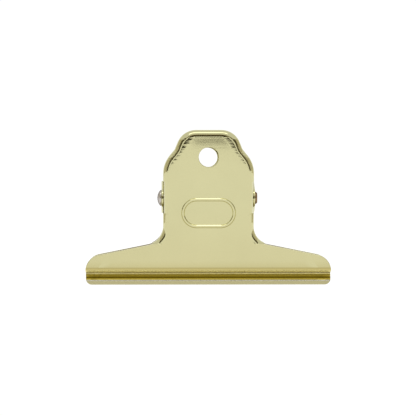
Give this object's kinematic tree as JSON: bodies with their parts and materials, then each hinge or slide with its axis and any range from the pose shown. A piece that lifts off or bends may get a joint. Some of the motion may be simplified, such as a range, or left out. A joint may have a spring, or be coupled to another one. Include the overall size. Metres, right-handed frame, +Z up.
{
  "type": "bulldog clip",
  "caption": "Sprung pressed-steel paper clip with wide grooved jaws, a narrower handle with a rim turned back all round and a hanging hole, hinged on a riveted pin.",
  "frame": {"origin": "under the middle of the closed clip, on the table that it stands on", "axes": "+X along the jaws, +Y from the front plate to the back plate, +Z up from the jaws to the handles"},
  "size_m": [0.068, 0.018, 0.0428],
  "materials": {
    "plating": "bright pale gold plating on pressed steel",
    "pin_steel": "bright nickel plating on steel",
    "spring_steel": "drawn spring wire, lightly oiled"
  },
  "bodies": {
    "back_jaw": {"back_plate": "plating", "pivot_pin": "pin_steel", "torsion_spring": "spring_steel"},
    "front_jaw": {"front_plate": "plating"}
  },
  "joints": [
    {"name": "jaw_hinge", "type": "hinge", "parent": "back_jaw", "child": "front_jaw", "pos_m": [0, 0, 0.024], "axis": [-1, 0, 0], "range_deg": [0, 41], "stiffness_Nm_per_rad": 0.15, "springref_deg": -22.92, "deforming": ["torsion_spring"]}
  ]
}
